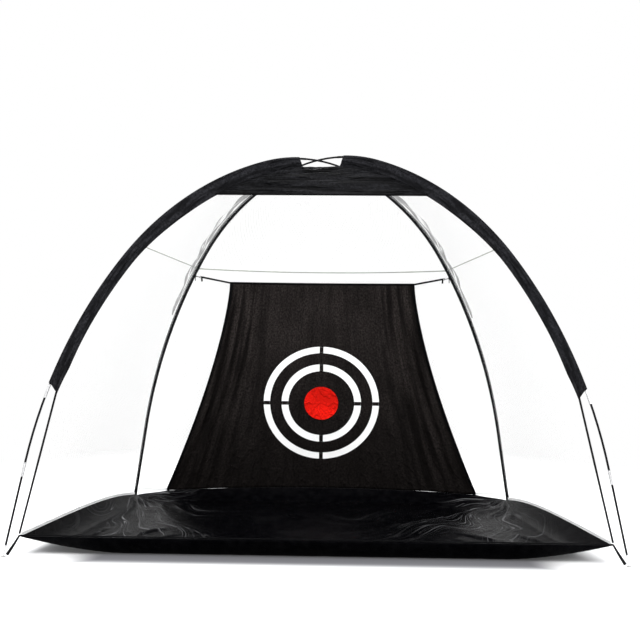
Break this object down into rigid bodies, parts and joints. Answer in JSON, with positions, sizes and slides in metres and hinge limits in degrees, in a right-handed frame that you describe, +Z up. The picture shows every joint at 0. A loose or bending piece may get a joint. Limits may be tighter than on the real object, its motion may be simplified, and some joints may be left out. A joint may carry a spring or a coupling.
{
  "type": "golf chipping net",
  "caption": "Folding golf chipping net: two crossed shock-corded poles hold a netted dome over a black floor tray, with a ring target hung inside and a black visor on top.",
  "frame": {"origin": "on the ground, at the middle of the base between the four feet", "axes": "+Z up; the open front faces -Y; +X is to the right as seen from the front"},
  "size_m": [2.0156, 1.0154, 1.3871],
  "materials": {
    "fibreglass": "gloss black glass-fibre rod",
    "bright_metal": "bright, lightly drawn",
    "cord": "braided black elastic",
    "sleeve_cloth": "black woven polyester",
    "netting": "fine white open netting",
    "white_tape": "white woven tape",
    "tray_sheet": "glossy coated sheet, blue-black",
    "target_cloth": "black woven polyester",
    "red_patch": "bright red woven patch",
    "black_plastic": "moulded black plastic",
    "ring_metal": "bright plated eyelet"
  },
  "bodies": {
    "frame": {"left_pole_sections": "fibreglass", "right_pole_sections": "fibreglass", "left_pole_ferrules": "bright_metal", "right_pole_ferrules": "bright_metal", "rear_left_leg": "fibreglass", "rear_right_leg": "fibreglass", "rear_left_tip": "bright_metal", "rear_right_tip": "bright_metal", "left_shock_cord": "cord", "right_shock_cord": "cord", "front_left_sleeve": "sleeve_cloth", "front_right_sleeve": "sleeve_cloth", "rear_left_sleeve": "sleeve_cloth", "rear_right_sleeve": "sleeve_cloth", "visor": "sleeve_cloth", "visor_tape": "cord", "top_net": "netting", "left_net_upper": "netting", "left_net_lower": "netting", "right_net_upper": "netting", "right_net_lower": "netting", "rear_net_upper": "netting", "rear_net_lower": "netting", "left_net_seam": "white_tape", "right_net_seam": "white_tape", "rear_net_seam": "white_tape", "left_net_hem": "white_tape", "right_net_hem": "white_tape", "rear_net_hem": "white_tape", "left_edge_cord": "cord", "right_edge_cord": "cord", "floor_tray": "tray_sheet", "front_lip_cord": "cord", "front_left_strap": "cord", "front_right_strap": "cord", "front_left_ring": "ring_metal", "front_right_ring": "ring_metal", "rear_left_pocket": "sleeve_cloth", "rear_right_pocket": "sleeve_cloth", "left_pole_loop": "cord", "right_pole_loop": "cord"},
    "front_left_leg_body": {"front_left_leg": "fibreglass", "front_left_tip": "bright_metal"},
    "front_right_leg_body": {"front_right_leg": "fibreglass", "front_right_tip": "bright_metal"},
    "target": {"target_cloth": "target_cloth", "target_top_hem": "sleeve_cloth", "outer_ring": "white_tape", "inner_ring": "white_tape", "bull_patch": "red_patch", "hang_cord": "cord"},
    "left_hook_body": {"left_hook": "black_plastic"},
    "right_hook_body": {"right_hook": "black_plastic"}
  },
  "joints": [
    {"name": "front_left_leg_slide", "type": "slide", "parent": "frame", "child": "front_left_leg_body", "axis": [-0.1892, -0.1051, -0.9763], "range_m": [0, 0.03], "stiffness_N_per_m": 40, "springref_m": -0.1},
    {"name": "front_right_leg_slide", "type": "slide", "parent": "frame", "child": "front_right_leg_body", "axis": [0.1892, -0.1051, -0.9763], "range_m": [0, 0.03], "stiffness_N_per_m": 40, "springref_m": -0.1},
    {"name": "target_fold", "type": "hinge", "parent": "frame", "child": "target", "pos_m": [0, 0.485, 0.0414], "axis": [1, 0, 0], "range_deg": [0, 76]},
    {"name": "left_hook_swing", "type": "hinge", "parent": "target", "child": "left_hook_body", "pos_m": [-0.50485, 0.33951, 0.94088], "axis": [0, 0, 1], "range_deg": [0, 75]},
    {"name": "right_hook_swing", "type": "hinge", "parent": "target", "child": "right_hook_body", "pos_m": [0.50286, 0.33839, 0.9408], "axis": [0, 0, -1], "range_deg": [0, 75]}
  ]
}
